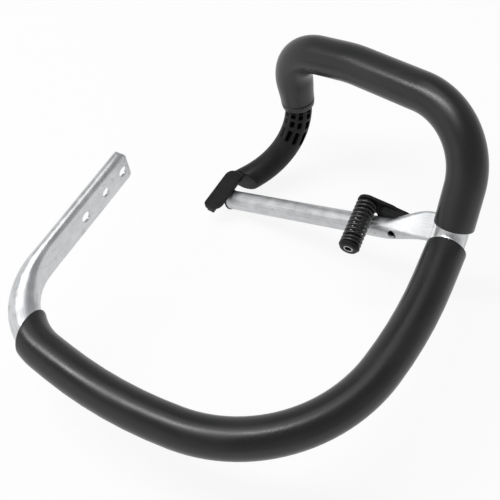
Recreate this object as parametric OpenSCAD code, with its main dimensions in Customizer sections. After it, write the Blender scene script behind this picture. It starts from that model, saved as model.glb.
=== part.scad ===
// Wraparound handle of a chainsaw: a bent aluminium tube with a flattened, bolted end, two rubber
// grips, a welded strut, a moulded support arm with its foot, and a coil spring with seat and plug.
// Origin: the middle bolt hole of the flattened end. +X runs along that end to its tip, +Z stands
// on the plane of the lower loop, and the loop opens towards -Y.

/* [Handle tube] */
// Outside diameter of the handle tube
tube_od = 24; // [22:0.5:26]
// Wall of the handle tube
tube_wall = 2; // [1.5:0.1:2.5]

/* [Flattened end] */
// Thickness of the flattened, oval run
flat_t = 9.5; // [8:0.5:12]
// Length of the flattened run from the tip
flat_len = 92; // [88:1:100]
// Length of the part that is milled open at the back
open_len = 76; // [72:1:84]
// Drop of the open web below the bolt line
web_drop = 13.5; // [12:0.5:15]
// Length over which the oval turns round again
morph_len = 62; // [50:1:70]
// Corner radius of the web at the tip
tip_corner = 5; // [2:0.5:6]
// Distance from the tip to the first bolt hole
tip_margin = 7.5; // [7:0.5:10]
// Distance from the first bolt hole to the middle one
near_gap = 22.5; // [18:0.5:26]
// Distance from the middle bolt hole to the last one
far_gap = 26; // [20:0.5:30]
// Diameter of the bolt hole next to the tip
tip_hole_d = 8.5; // [6:0.5:10]
// Diameter of the middle bolt hole
mid_hole_d = 7.5; // [5:0.5:9]
// Diameter of the last bolt hole
far_hole_d = 9; // [6:0.5:10]

/* [Bends of the lower loop] */
// Straight run from the tip to the corner bend
tip_run = 107.5; // [104:0.5:115]
// Centre line radius of the corner bend
corner_r = 56; // [52:1:62]
// Angle of the corner bend
corner_angle = 82.2; // [78:0.1:86]
// Straight run after the corner bend
corner_run = 14; // [8:0.5:20]
// Radius of the two slack bends that lead into and out of the round of the loop
slack_r = 340; // [300:5:380]
// Angle of the slack bend before the round
lead_in_angle = 16.9; // [14:0.1:20]
// Centre line radius of the round of the loop
round_r = 118; // [112:1:124]
// Angle of the round of the loop
round_angle = 75.3; // [72:0.1:78]
// Angle of the slack bend after the round
lead_out_angle = 13.2; // [10:0.1:16]
// Straight run up to the vee bend
vee_run = 30; // [26:0.5:36]

/* [Bends of the upper loop] */
// Centre line radius of the tight vee bend
vee_r = 16; // [15:0.5:18]
// Angle of the vee bend
vee_angle = 52.5; // [48:0.5:56]
// Straight run after the vee bend
rise_run = 32.5; // [28:0.5:38]
// Centre line radius of the side bend
side_r = 55; // [50:1:60]
// Angle of the side bend
side_angle = 88.2; // [84:0.1:92]
// Turn of the bend plane before the side bend
side_turn = -108.5; // [-112:0.5:-104]
// Straight run along the top
top_run = 55; // [48:0.5:62]
// Centre line radius of the slight arch of the top
arch_r = 110; // [100:5:130]
// Angle of the slight arch
arch_angle = 7.5; // [5:0.5:10]
// Straight run after the arch
arch_run = 25; // [20:0.5:30]
// Centre line radius of the bend down into the leg
leg_r = 32; // [30:1:36]
// Angle of the bend down into the leg
leg_angle = 85; // [80:0.5:90]
// Turn of the bend plane before the leg
leg_turn = -28.5; // [-34:0.5:-24]
// Straight run of the leg to the end of the tube
leg_run = 23.5; // [20:0.5:28]

/* [Grips] */
// Outside diameter of the rubber grips
grip_od = 30; // [28:0.5:32]
// Slope of the cut at the first end of the lower grip
grip_slant = 32.5; // [0:0.5:35]
// Turn of that slope about the tube
grip_slant_turn = 16; // [-90:1:90]
// Start of the lower grip, measured back from the end of the corner bend
grip_back = 20.5; // [18:0.5:24]
// Bare tube between the two grips at the vee bend
grip_apart = 3; // [1:0.5:6]
// Outside diameter of the upper grip where it ends on the arm
lip_od = 26.4; // [26:0.1:28]
// Length of the lip past the groove
lip_len = 5; // [3:0.5:7]
// Reach of the lip over the support arm
lip_over = 2; // [1:0.5:4]
// Width of the groove before the lip
groove_w = 1; // [0.6:0.1:1.6]
// Depth of the groove
groove_deep = 0.7; // [0.4:0.1:0.9]

/* [Support arm] */
// Diameter of the arm
arm_d = 22; // [21:0.5:24]
// Centre line radius of the short bend where the arm leaves the tube
neck_r = 32; // [30:1:40]
// Angle of the short bend
neck_angle = 9.5; // [8:0.5:11]
// Centre line radius of the arm
arm_r = 75; // [70:1:80]
// Angle of the arm
arm_angle = 63.5; // [60:0.5:66]
// Turn of the bend plane before the arm
arm_turn = 130; // [126:0.5:134]
// Distance of the arm's end face from the strut axis
face_off = 18; // [15:0.5:20]
// Length of the spigot in the tube
spigot_len = 26; // [18:1:30]
// Depth of the pockets between the ribs
pocket_deep = 9; // [5:0.5:12]
// Width of the pockets
pocket_w = 3.3; // [3:0.1:3.8]
// Diameter of the cross rivet
rivet_d = 4; // [3:0.5:5]

/* [Foot] */
// Length of the foot plate
plate_len = 43; // [40:1:46]
// Width of the foot plate
plate_w = 14.5; // [13:0.5:16]
// Thickness of the foot plate
plate_t = 4; // [3:0.5:5]
// Height of the plate's top above the centre of the strut's end
plate_rise = 14.5; // [14:0.5:16]
// Reach of the plate past the centre of the strut's end, against +X
plate_past = 23.5; // [20:0.5:26]
// Reach of the plate past the centre of the strut's end, along +Y
plate_ahead = 13; // [12:0.5:14]
// Length of the peg in the strut
peg_len = 16; // [14:0.5:20]
// Thickness of the collar at the strut's end
collar_t = 1.3; // [1:0.1:2]
// Distance that the collar stands out round the strut
collar_out = 0.8; // [0.5:0.1:1.5]
// Distance from the arm's bend to the end of the strut, against +X
foot_reach = 22; // [20:0.5:26]
// Distance from the arm's bend to the end of the strut, along +Y
foot_shift = 4; // [2:0.5:6]
// Drop from the arm's bend to the end of the strut
foot_drop = 7.5; // [6:0.5:10]
// Diameter of the foot screw
foot_screw_d = 5; // [4:0.5:6]

/* [Strut] */
// Outside diameter of the strut
strut_od = 16; // [15:0.5:18]
// Wall of the strut
strut_wall = 2; // [1.5:0.1:2.5]
// Thickness of the pressed end of the strut
paddle_t = 5; // [4.5:0.25:7]
// Where the pressed end begins, from the vee bend
paddle_end = 20; // [18:0.5:22]
// Length over which the strut turns round again
paddle_morph = 38; // [34:1:42]
// Turn of the pressed end, in line with the tube
paddle_turn = 26; // [20:1:32]
// Shift of the pressed end to the side of the spring seat
paddle_side = 5.5; // [4:0.5:7]
// Shift of the pressed end to the side of the spring
paddle_lift = 4.5; // [3:0.5:6]
// Size of the weld bead
weld_size = 2.6; // [2:0.1:3.5]

/* [Spring] */
// Outside diameter of the spring
spring_od = 16.4; // [15:0.1:18]
// Diameter of the spring wire
wire_d = 2.4; // [2:0.1:2.6]
// Free length of the spring
spring_len = 39.5; // [38:0.5:44]
// Number of turns
spring_turns = 11; // [9:0.5:12]
// Place of the spring along the strut, from the vee bend
spring_along = 69.5; // [68:0.5:74]
// Distance of the spring axis from the strut axis
spring_off = 18.5; // [18.5:0.5:21]
// Lean of the spring along the strut
spring_lean = 7; // [5:0.5:9]
// Lean of the spring towards the strut
spring_tip = 6; // [4:0.5:7]

/* [Spring seat and plug] */
// Thickness of the spring seat
seat_t = 2.5; // [2:0.5:3.5]
// Distance of the seat's face from the strut axis
seat_side = 6.5; // [6:0.5:7.5]
// Radius of the seat around its screw
seat_nose_r = 6.5; // [6:0.5:7]
// Length of the bosses in the spring
boss_len = 10; // [8:0.5:12]
// Place of the seat screw along the strut
screw_along = 47; // [46:0.5:50]
// Distance of the seat screw from the strut axis, to the side of the spring
screw_off = 1.4; // [0.8:0.2:2]
// Diameter of the seat screw
seat_screw_d = 3.5; // [3:0.5:4]
// Diameter of the screwdriver hole in the strut
access_d = 7; // [6.5:0.5:8]
// Thickness of the collar of the plug
plug_t = 3; // [2.5:0.5:4]
// Bore of the plug's bush
bush_bore = 5.5; // [5:0.5:6]
// Wall of the plug's bush
bush_wall = 1; // [0.8:0.1:1.2]

/* [Clearances] */
// Gap between a piece and what it is pushed onto
fit_gap = 0.1; // [0.05:0.05:0.2]

/* [Hidden] */
$fn = 48;
tiny = 0.001;
$slim = 0;
// Overlap of neighbouring pieces of a sweep, and the step between them
lap = 0.1;
hair = 0.05;
// Distance that a cutting shape runs past what it cuts
over = 1;

// The oval keeps the tube's own girth
function oval_width(girth_d, t) = (PI * girth_d - (PI - 2) * t) / 2;
flat_w = oval_width(tube_od, flat_t);
paddle_w = oval_width(strut_od, paddle_t);

// Bends in order: straight run before, radius, angle, turn of the bend plane
BENDS = [
    [tip_run, corner_r, corner_angle, 0],
    [corner_run, slack_r, lead_in_angle, 0],
    [0, round_r, round_angle, 0],
    [0, slack_r, lead_out_angle, 0],
    [vee_run, vee_r, vee_angle, 90],
    [rise_run, side_r, side_angle, side_turn],
    [top_run, arch_r, arch_angle, 0],
    [arch_run, leg_r, leg_angle, leg_turn],
    [leg_run + lip_over, neck_r, neck_angle, arm_turn],
    [0, arm_r, arm_angle, 0],
    [2 * arm_d, 1, 0, 0]
];
CORNER = 0;
VEE = 4;
ARM = 8;

// Moves and turns as matrices, so that a place can be worked out as well as drawn
function move(x = 0, y = 0, z = 0) = [[1, 0, 0, x], [0, 1, 0, y], [0, 0, 1, z], [0, 0, 0, 1]];
function roll(a) = [[1, 0, 0, 0], [0, cos(a), -sin(a), 0], [0, sin(a), cos(a), 0], [0, 0, 0, 1]];
function yaw(a) = [[cos(a), -sin(a), 0, 0], [sin(a), cos(a), 0, 0], [0, 0, 1, 0], [0, 0, 0, 1]];
function around(r, a) = move(r * sin(a), r * (1 - cos(a))) * yaw(a);
function degrees(length, r) = length / r * 180 / PI;
function arc_len(b) = b[1] * b[2] * PI / 180;
function bend_len(b) = b[0] + arc_len(b);
function spot(m) = [m[0][3], m[1][3], m[2][3]];
function unit(v) = v / norm(v);

// Distance along the centre line at which bend i, with its straight run, begins
function mark(i) = i == 0 ? 0 : mark(i - 1) + bend_len(BENDS[i - 1]);
function bend_start(i) = mark(i) + BENDS[i][0];
tip_x = tip_margin + near_gap;
// The web with the bolt holes stands in the plane y = 0
tip_y = (flat_t - tube_wall) / 2;
START = move(tip_x, tip_y) * yaw(180);
function frame_of(i) =
    i == 0 ? START
    : let (b = BENDS[i - 1]) frame_of(i - 1) * move(b[0]) * roll(b[3]) * around(b[1], b[2]);
// Frame at distance s along the centre line: X onward, Y to the inside of the bend
function frame_at(s, i = 0) =
    let (b = BENDS[i], past = s - mark(i))
    past <= b[0] ? frame_of(i) * move(past)
    : past <= bend_len(b) + tiny
        ? frame_of(i) * move(b[0]) * roll(b[3]) * around(b[1], degrees(past - b[0], b[1]))
        : frame_at(s, i + 1);

// Places its children in the frame in which bend i begins, after its straight run and turn
module at_bend(i) {
    if (i == 0)
        translate([tip_x, tip_y, 0]) rotate([0, 0, 180])
            translate([BENDS[0][0], 0, 0]) children();
    else
        at_bend(i - 1)
            past_arc(BENDS[i - 1])
                translate([BENDS[i][0], 0, 0]) rotate([BENDS[i][3], 0, 0]) children();
}

module past_arc(b, angle = undef) {
    a = is_undef(angle) ? b[2] : angle;
    translate([0, b[1], 0]) rotate([0, 0, a]) translate([0, -b[1], 0]) children();
}

// Number of runs and arcs before bend i, and the step of a piece with that number before it
function pieces_before(i) = i == 0 ? 0 : pieces_before(i - 1) + (BENDS[i - 1][0] > 0 ? 2 : 1);
function step_of(count) = count % 2 == 0 ? 0 : hair;

// Draws a flat section along the centre line from one distance to another. Each piece begins a
// little inside the one before it and is a hair slimmer or fuller, so that the two merge cleanly.
module sweep(from, to) {
    for (i = [0 : len(BENDS) - 1]) {
        b = BENDS[i];
        corner = bend_start(i);
        run_from = max(from, mark(i) - (from < mark(i) ? lap : 0)) - corner;
        run_to = min(to, corner) - corner;
        if (run_to > run_from + 2 * lap) {
            $slim = step_of(pieces_before(i));
            at_bend(i)
                rotate([-b[3], 0, 0])
                    translate([run_from, 0, 0])
                        rotate([90, 0, 90]) linear_extrude(run_to - run_from) children();
        }
        arc_from = max(from, corner - (from < corner ? lap : 0)) - corner;
        arc_to = min(to - corner, arc_len(b));
        if (arc_to > arc_from + 2 * lap) {
            $slim = step_of(pieces_before(i) + (b[0] > 0 ? 1 : 0));
            at_bend(i)
                translate([0, b[1], 0]) rotate([0, 0, degrees(arc_from, b[1]) - 90])
                    rotate_extrude(angle = degrees(arc_to - arc_from, b[1]))
                        translate([b[1], 0]) mirror([1, 0, 0]) children();
        }
    }
}

module disc(d) {
    circle(d = d - 2 * $slim);
}

module ring(od, id) {
    difference() {
        circle(d = od - 2 * $slim);
        circle(d = id + 2 * $slim);
    }
}

// Flat oval, wide along the second axis
module oval(w, t) {
    square([t, w - t], center = true);
    for (side = [-1, 1])
        translate([0, side * (w - t) / 2]) circle(d = t);
}

// Round-ended bar with two different end radii, between two points. Its flanks lie a hair inside
// the tangents of the two rounds, so that they meet the rounds at a clear angle.
module tapered_bar(p, p_r, q, q_r) {
    way = q - p;
    lean = acos((p_r - q_r) / norm(way));
    heading = atan2(way[1], way[0]);
    function edge(c, r, side) =
        c + (r - hair) * [cos(heading + side * lean), sin(heading + side * lean)];
    translate(p) circle(r = p_r);
    translate(q) circle(r = q_r);
    polygon([edge(p, p_r, 1), edge(q, q_r, 1), edge(q, q_r, -1), edge(p, p_r, -1)]);
}

// Ring of points around an oval in the frame m, wide along Z
arc_steps = 12;
// The straight chords of such a ring stay inside the wall of the true tube that it joins
chord_out = 0.05;
chord_in = 0.15;
loft_lap = 0.5;
function oval_ring(m, w, t) = [
    for (side = [1, -1], j = [0 : arc_steps])
        let (a = 180 * j / arc_steps, p = [0, side * t / 2 * cos(a),
             side * ((w - t) / 2 + t / 2 * sin(a)), 1]) spot_of(m * p)
];
function spot_of(p) = [p[0], p[1], p[2]];

// Closed wall between a list of outer rings and a list of inner rings
module wall_between(outer, inner) {
    n = len(outer[0]);
    m = len(outer);
    base = n * m;
    points = [for (r = outer) each r, for (r = inner) each r];
    function quad(a, b, c, d) = [[c, b, a], [d, c, a]];
    skin = [for (i = [0 : m - 2], j = [0 : n - 1]) let (k = (j + 1) % n)
        each quad(i * n + j, i * n + k, (i + 1) * n + k, (i + 1) * n + j)];
    bore = [for (i = [0 : m - 2], j = [0 : n - 1]) let (k = (j + 1) % n)
        each quad(base + i * n + j, base + (i + 1) * n + j, base + (i + 1) * n + k, base + i * n + k)];
    near = [for (j = [0 : n - 1]) let (k = (j + 1) % n) each quad(j, base + j, base + k, k)];
    last = (m - 1) * n;
    far = [for (j = [0 : n - 1]) let (k = (j + 1) % n)
        each quad(last + j, last + k, base + last + k, base + last + j)];
    polyhedron(points, concat(skin, bore, near, far));
}

// Smooth step from 0 to 1
function ease(k) = k * k * (3 - 2 * k);

// The flattened end: an oval run, milled open at the back, with three bolt holes in its web
module flattened_end() {
    holes = [[tip_margin, tip_hole_d], [tip_x, mid_hole_d], [tip_x + far_gap, far_hole_d]];
    difference() {
        sweep(0, flat_len + loft_lap) difference() {
            oval(flat_w, flat_t);
            oval(flat_w - 2 * tube_wall, flat_t - 2 * tube_wall);
        }
        multmatrix(START) {
            for (h = holes)
                translate([h[0], 0, 0]) rotate([-90, 0, 0]) cylinder(d = h[1], h = flat_t);
            opening_in_back();
            tip_corners();
        }
    }
}

// What the mill takes away: the back wall and the lower edge, up to a round end
module opening_in_back() {
    back = flat_t / 2 - tube_wall;
    roof = (flat_w - flat_t) / 2;
    mill_r = 8;
    translate([0, back, 0]) rotate([90, 0, 0]) linear_extrude(2 * flat_t) {
        translate([-over, -flat_w]) square([open_len - mill_r + over, flat_w + roof]);
        translate([-over, -flat_w]) square([open_len + over, flat_w + roof - mill_r]);
        translate([open_len - mill_r, roof - mill_r]) circle(r = mill_r);
    }
    translate([-over, 0, -flat_w - web_drop]) cube([open_len + over, flat_t, flat_w]);
}

// Rounds the two corners of the web at the tip
module tip_corners() {
    translate([0, flat_t, 0]) rotate([90, 0, 0]) linear_extrude(2 * flat_t) {
        translate([0, -web_drop]) corner_waste(tip_corner);
        translate([0, flat_w / 2]) mirror([0, 1]) corner_waste(tip_corner);
    }
}

// What a round leaves over of a square corner at the origin
module corner_waste(r) {
    difference() {
        translate([-over, -over]) square(r + over);
        translate([r, r]) circle(r = r);
    }
}

// Frame at distance s from the tip, seen from the start of the corner bend
function from_corner(s) =
    s <= tip_run ? move(s - tip_run) : around(corner_r, degrees(s - tip_run, corner_r));

// Oval to round, along the first part of the corner bend
module corner_morph() {
    steps = 16;
    function rings(inset) = [
        for (i = [0 : steps])
            let (k = ease(i / steps), w = flat_w + (tube_od - flat_w) * k,
                 t = flat_t + (tube_od - flat_t) * k)
            oval_ring(from_corner(flat_len + morph_len * i / steps), w - 2 * inset, t - 2 * inset)
    ];
    at_bend(CORNER) wall_between(rings(chord_out), rings(tube_wall - chord_in));
}

tube_end = bend_start(ARM) - lip_over;

module handle_tube() {
    color("silver") {
        difference() {
            union() {
                flattened_end();
                corner_morph();
                sweep(flat_len + morph_len - loft_lap, tube_end)
                    ring(tube_od, tube_od - 2 * tube_wall);
            }
            rivet_place() cylinder(d = rivet_d, h = 2 * tube_od, center = true);
        }
    }
}

// Rubber grips
sleeve_id = tube_od + 2 * fit_gap;
// Growth of the upper grip's radius from its end to the groove
lip_flare = 0.5;
lower_from = mark(CORNER + 1) - grip_back;
lower_to = bend_start(VEE);
upper_from = mark(VEE + 1) + grip_apart;

module lower_grip() {
    reach = 2 * grip_od;
    color("dimgray")
        difference() {
            sweep(lower_from - grip_od / 2, lower_to) ring(grip_od, sleeve_id);
            multmatrix(frame_at(lower_from) * roll(grip_slant_turn) * yaw(grip_slant))
                translate([-reach, -reach, -reach]) cube([reach, 2 * reach, 2 * reach]);
        }
}

module upper_grip() {
    leg_from = mark(ARM);
    leg = leg_run + lip_over;
    groove_at = leg - lip_len;
    rim_r = lip_od / 2 + lip_flare;
    color("dimgray") {
        sweep(upper_from, leg_from) ring(grip_od, sleeve_id);
        at_bend(ARM) rotate([-arm_turn, 0, 0]) translate([-leg, 0, 0]) rotate([0, 90, 0])
            rotate_extrude() polygon([
            [sleeve_id / 2, -lap], [grip_od / 2, -lap], [grip_od / 2, 0],
            [rim_r, groove_at - groove_w], [rim_r - groove_deep, groove_at - groove_w / 2],
            [rim_r, groove_at], [lip_od / 2, leg], [sleeve_id / 2, leg]
        ]);
    }
}

// The support arm: spigot, curved bar with rib pockets, and the foot that holds the strut
foot_at = spot(frame_at(mark(ARM + 2))) + [-foot_reach, foot_shift, -foot_drop];
vee_at = spot(frame_at(bend_start(VEE) + arc_len(BENDS[VEE]) / 2));
strut_len = norm(foot_at - vee_at);
strut_x = unit(foot_at - vee_at);
strut_z = unit([0, 0, 1] - strut_x[2] * strut_x);
strut_y = cross(strut_z, strut_x);
// Frame of the strut: X from the vee bend to the foot, Y across, Z on the side of the spring
STRUT = [
    [strut_x[0], strut_y[0], strut_z[0], vee_at[0]],
    [strut_x[1], strut_y[1], strut_z[1], vee_at[1]],
    [strut_x[2], strut_y[2], strut_z[2], vee_at[2]],
    [0, 0, 0, 1]
];
plate_z = foot_at[2] + plate_rise - plate_t;
collar_d = strut_od + 2 * collar_out;

module rivet_place() {
    multmatrix(frame_at(tube_end - spigot_len / 2)) children();
}

// Pockets: rows along the arm, each with its start and length, and columns across it
module rib_pockets() {
    rows = [[-3.5, 2], [-0.6, 4.6], [6.8, 6.5], [17, 12]];
    columns = [-12.5, -7.7, -2.2, 4.6];
    translate([0, arm_r, -arm_d / 2 - over])
        for (row = rows, c = columns)
            rotate([0, 0, degrees(row[0], arm_r) - 90])
                rotate_extrude(angle = degrees(row[1], arm_r))
                    translate([arm_r + c, 0]) square([pocket_w, pocket_deep + over]);
}

module support_arm() {
    spigot_d = tube_od - 2 * tube_wall - 2 * fit_gap;
    color([0.2, 0.2, 0.21])
        difference() {
            union() {
                sweep(tube_end - spigot_len, tube_end + lap) disc(spigot_d);
                difference() {
                    sweep(tube_end, mark(ARM + 3) - lap) disc(arm_d);
                    at_bend(ARM + 1) rib_pockets();
                    beside_strut();
                    over_plate();
                }
                foot_plate();
                strut_peg();
            }
            rivet_place() cylinder(d = rivet_d, h = 2 * tube_od, center = true);
            multmatrix(STRUT) rotate([0, 90, 0]) strut_room();
            foot_screw_place() cylinder(d = foot_screw_d, h = strut_od);
        }
}

// Cuts the arm off in a plane along the strut
module beside_strut() {
    size = 4 * arm_d;
    multmatrix(STRUT) translate([strut_len - size / 2, -face_off, -size / 2]) cube(size);
}

// Room round the strut's end
module strut_room() {
    difference() {
        cylinder(d = strut_od + 2 * fit_gap, h = strut_len);
        translate([0, 0, -over]) cylinder(d = peg_d, h = strut_len + over);
    }
}

// Level plate over the strut's end, with one large round corner and a lug below its far end
plate_at = [foot_at[0] - plate_past, foot_at[1] + plate_ahead - plate_w, plate_z];
module foot_plate() {
    lug = [5, 6.5, 4.5];
    lug_in = [1, 3];
    translate(plate_at) {
        linear_extrude(plate_t) plate_outline(0);
        translate([lug_in[0], plate_w - lug_in[1] - lug[1], -lug[2]]) cube(lug + [0, 0, plate_t / 2]);
    }
}

// Outline of the plate: each corner by its two sides, with its radius
module plate_outline(inset) {
    size = [plate_len - 2 * inset, plate_w - 2 * inset];
    corners = [[0, 0, 10], [1, 0, 2], [0, 1, 4], [1, 1, 8]];
    translate([inset, inset]) difference() {
        square(size);
        for (c = corners)
            translate([c[0] * size[0], c[1] * size[1]])
                mirror([c[0], 0]) mirror([0, c[1]]) corner_waste(c[2]);
    }
}

// Keeps the arm from standing up over the plate
module over_plate() {
    border = 0.2;
    translate(plate_at + [0, 0, plate_t - 2 * border]) linear_extrude(arm_d) plate_outline(border);
}

// Peg and collar at the strut's end, hung from the plate by a block and a web to the arm
peg_d = strut_od - 2 * strut_wall - 2 * fit_gap;
module strut_peg() {
    block = [5, 13, plate_rise - 2.5];
    block_at = [strut_len, -block[1] / 2 - 0.5, 2];
    web = [face_off + 2, 3, 9];
    web_at = [foot_at[0], foot_at[1] + 4, plate_z - web[2]];
    multmatrix(STRUT) {
        translate([strut_len - peg_len, 0, 0]) rotate([0, 90, 0])
            cylinder(d = peg_d, h = peg_len + collar_t / 2);
        translate([strut_len, 0, 0]) rotate([0, 90, 0]) cylinder(d = collar_d, h = collar_t);
        translate(block_at) cube(block);
    }
    translate(web_at) cube(web + [0, 0, plate_t / 2]);
}

module spigot_rivet() {
    color("gray") rivet_place() cylinder(d = rivet_d - 2 * fit_gap, h = tube_od, center = true);
}

// Welded strut with a pressed end, a hole for the screwdriver and one for the seat screw
round_from = paddle_end + paddle_morph - loft_lap;
function paddle_frame(x, k) =
    STRUT * move(x, -paddle_side * k, paddle_lift * k) * roll(90 - paddle_turn);

module strut_end(from, to, w, t) {
    multmatrix(paddle_frame(from, 1)) rotate([90, 0, 90]) linear_extrude(to - from) oval(w, t);
}

function strut_rings(inset) =
    let (steps = 12)
    [for (i = [0 : steps])
        let (k = 1 - ease(i / steps), w = strut_od + (paddle_w - strut_od) * k,
             t = strut_od + (paddle_t - strut_od) * k)
        oval_ring(paddle_frame(paddle_end + paddle_morph * i / steps, k), w - 2 * inset, t - 2 * inset)
    ];

module strut_morph() {
    wall_between(strut_rings(chord_out), strut_rings(strut_wall - chord_in));
}

module strut() {
    color("silver")
        difference() {
            union() {
                difference() {
                    strut_end(0, paddle_end + loft_lap, paddle_w, paddle_t);
                    strut_end(-over, paddle_end + over, paddle_w - 2 * strut_wall,
                              paddle_t - 2 * strut_wall);
                }
                strut_morph();
                multmatrix(STRUT) translate([round_from, 0, 0]) rotate([0, 90, 0])
                    linear_extrude(strut_len - round_from - fit_gap)
                        ring(strut_od, strut_od - 2 * strut_wall);
            }
            handle_clearance(fit_gap);
            screw_place() {
                rotate([180, 0, 0]) cylinder(d = access_d, h = strut_od);
                cylinder(d = seat_screw_d + 4 * fit_gap, h = strut_od);
            }
            foot_screw_place() cylinder(d = foot_screw_d + 2 * fit_gap, h = strut_od);
        }
}

// Room that the tube and the two grips take at the vee bend
module handle_clearance(gap) {
    sweep(lower_to - grip_od, upper_from + grip_od) disc(tube_od + 2 * gap);
    sweep(lower_to - grip_od, lower_to + gap) disc(grip_od + 2 * gap);
    sweep(upper_from - gap, upper_from + grip_od) disc(grip_od + 2 * gap);
}

module weld_bead() {
    beside = grip_od / 3;
    color("darkgray")
        difference() {
            intersection() {
                sweep(lower_to - beside, upper_from + beside) disc(tube_od + 2 * weld_size);
                strut_end(0, paddle_end, paddle_w + 2 * weld_size, paddle_t + 2 * weld_size);
            }
            strut_end(-over, paddle_end + over, paddle_w + fit_gap, paddle_t + fit_gap);
            handle_clearance(fit_gap);
        }
}

// The screw that holds the foot, through the strut's lower side into the peg
foot_screw_turn = 150;
module foot_screw_place() {
    multmatrix(STRUT) translate([strut_len - peg_len / 2, 0, 0]) rotate([foot_screw_turn, 0, 0])
        children();
}

module foot_screw() {
    head_h = 3;
    head_at = strut_od / 2 + fit_gap;
    color("gray")
        foot_screw_place() {
            cylinder(d = foot_screw_d - fit_gap, h = head_at + head_h / 2);
            difference() {
                translate([0, 0, head_at]) cylinder(d = 1.8 * foot_screw_d, h = head_h);
                translate([0, 0, head_at + head_h / 2]) cylinder(d = foot_screw_d, h = head_h, $fn = 6);
            }
        }
}

// Frame of the spring: Z from the seat to the plug, origin in the face that the coil rests on
SPRING = STRUT * move(spring_along, -seat_side, spring_off) * yaw(spring_lean)
    * roll(-90 - spring_tip);
boss_d = spring_od - 2 * wire_d - 2 * fit_gap;
seat_disc_r = spring_od / 2;
// Depth of the seat screw in the seat, and gap between its head and the face of the seat
screw_bite = 6;
head_sunk = 0.4;
// Further room for the round part of the strut in the seat
saddle_play = 0.2;

// Axis of the seat screw, through the strut and away from the spring
module screw_place() {
    multmatrix(STRUT) translate([screw_along, 0, screw_off]) rotate([90, 0, 0]) children();
}

// Moulded bracket on the far side of the strut: a saddle round the screw and a plate for the spring
module spring_seat() {
    screw = [screw_along, screw_off];
    crest = [spring_along - 12, screw_off + 6];
    crest_r = seat_nose_r + 3;
    spring = [spring_along, spring_off];
    pad_from = 4.5;
    reach = 40;
    color([0.17, 0.17, 0.18])
        difference() {
            intersection() {
                union() {
                    across_strut(pad_from, reach) tapered_bar(screw, seat_nose_r, crest, seat_nose_r);
                    intersection() {
                        across_strut(0, reach) {
                            tapered_bar(screw, seat_nose_r, spring, seat_disc_r);
                            tapered_bar(crest, crest_r, spring, seat_disc_r);
                        }
                        multmatrix(SPRING) translate([-reach, -reach, -reach])
                            cube([2 * reach, 2 * reach, reach]);
                    }
                    multmatrix(SPRING) translate([0, 0, -seat_t / 2])
                        cylinder(d = boss_d, h = boss_len + seat_t / 2);
                }
                multmatrix(SPRING) translate([-reach, -reach, -seat_t]) cube(2 * reach);
            }
            multmatrix(STRUT) translate([round_from, 0, 0]) rotate([0, 90, 0])
                cylinder(d = strut_od + 2 * (fit_gap + saddle_play), h = strut_len);
            strut_skin(fit_gap);
            screw_place() cylinder(d = seat_screw_d, h = seat_side + screw_bite);
        }
}

// Prism across the strut, from one distance to another on the far side
module across_strut(from, to) {
    multmatrix(STRUT) translate([0, -from, 0]) rotate([90, 0, 0]) linear_extrude(to - from) children();
}

// Solid as large as the strut where it turns from oval to round, with a gap all round
module strut_skin(gap) {
    rings = strut_rings(-gap);
    n = len(rings[0]);
    last = len(rings) - 1;
    function quad(a, b, c, d) = [[c, b, a], [d, c, a]];
    polyhedron([for (r = rings) each r], concat(
        [for (i = [0 : last - 1], j = [0 : n - 1]) let (k = (j + 1) % n)
            each quad(i * n + j, i * n + k, (i + 1) * n + k, (i + 1) * n + j)],
        [[for (j = [0 : n - 1]) j], [for (j = [n - 1 : -1 : 0]) last * n + j]]));
}

module seat_screw() {
    head_h = 2.2;
    head_at = seat_side - head_sunk;
    color("gray")
        screw_place() {
            cylinder(d = seat_screw_d - fit_gap, h = head_at + screw_bite);
            difference() {
                translate([0, 0, head_at - head_h]) cylinder(d = 1.6 * seat_screw_d, h = head_h);
                cylinder(d = seat_screw_d, h = head_at - head_h / 2, $fn = 6);
            }
        }
}

// Coil with closed ends, swept by a small polygon along a helix
coil_from = fit_gap;
function coil_angle(k) = 360 * spring_turns * k;
function coil_rise(k) =
    let (closed = 1 / spring_turns, free = spring_len - coil_from - 3 * wire_d)
    wire_d / 2 + (k < closed ? wire_d * k / closed
        : k > 1 - closed ? wire_d + free + wire_d * (k - 1 + closed) / closed
        : wire_d + free * (k - closed) / (1 - 2 * closed));

module av_spring() {
    per_turn = 16;
    sides = 8;
    r = (spring_od - wire_d) / 2;
    steps = round(per_turn * spring_turns);
    points = [for (i = [0 : steps], j = [0 : sides - 1])
        let (k = i / steps, a = coil_angle(k), b = 360 * j / sides, w = wire_d / 2)
        [(r + w * cos(b)) * cos(a), (r + w * cos(b)) * sin(a), coil_from + coil_rise(k) + w * sin(b)]];
    skin = [for (i = [0 : steps - 1], j = [0 : sides - 1])
        let (k = (j + 1) % sides, a = i * sides + j, b = i * sides + k)
        each [[a, b + sides, a + sides], [a, b, b + sides]]];
    caps = [[for (j = [sides - 1 : -1 : 0]) j],
            [for (j = [0 : sides - 1]) steps * sides + j]];
    color([0.1, 0.1, 0.1]) multmatrix(SPRING) polyhedron(points, concat(skin, caps));
}

// Plug in the free end of the spring, with a metal bush for its screw
bush_od = bush_bore + 2 * bush_wall;
module spring_plug() {
    end = spring_len + fit_gap;
    top_d = spring_od - 3;
    color([0.17, 0.17, 0.18])
        multmatrix(SPRING) difference() {
            union() {
                translate([0, 0, end - boss_len]) cylinder(d = boss_d, h = boss_len + plug_t / 2);
                translate([0, 0, end]) cylinder(d1 = spring_od, d2 = top_d, h = plug_t);
            }
            translate([0, 0, end - boss_len - over])
                cylinder(d = bush_od + fit_gap, h = boss_len + plug_t + 2 * over);
        }
}

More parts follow.
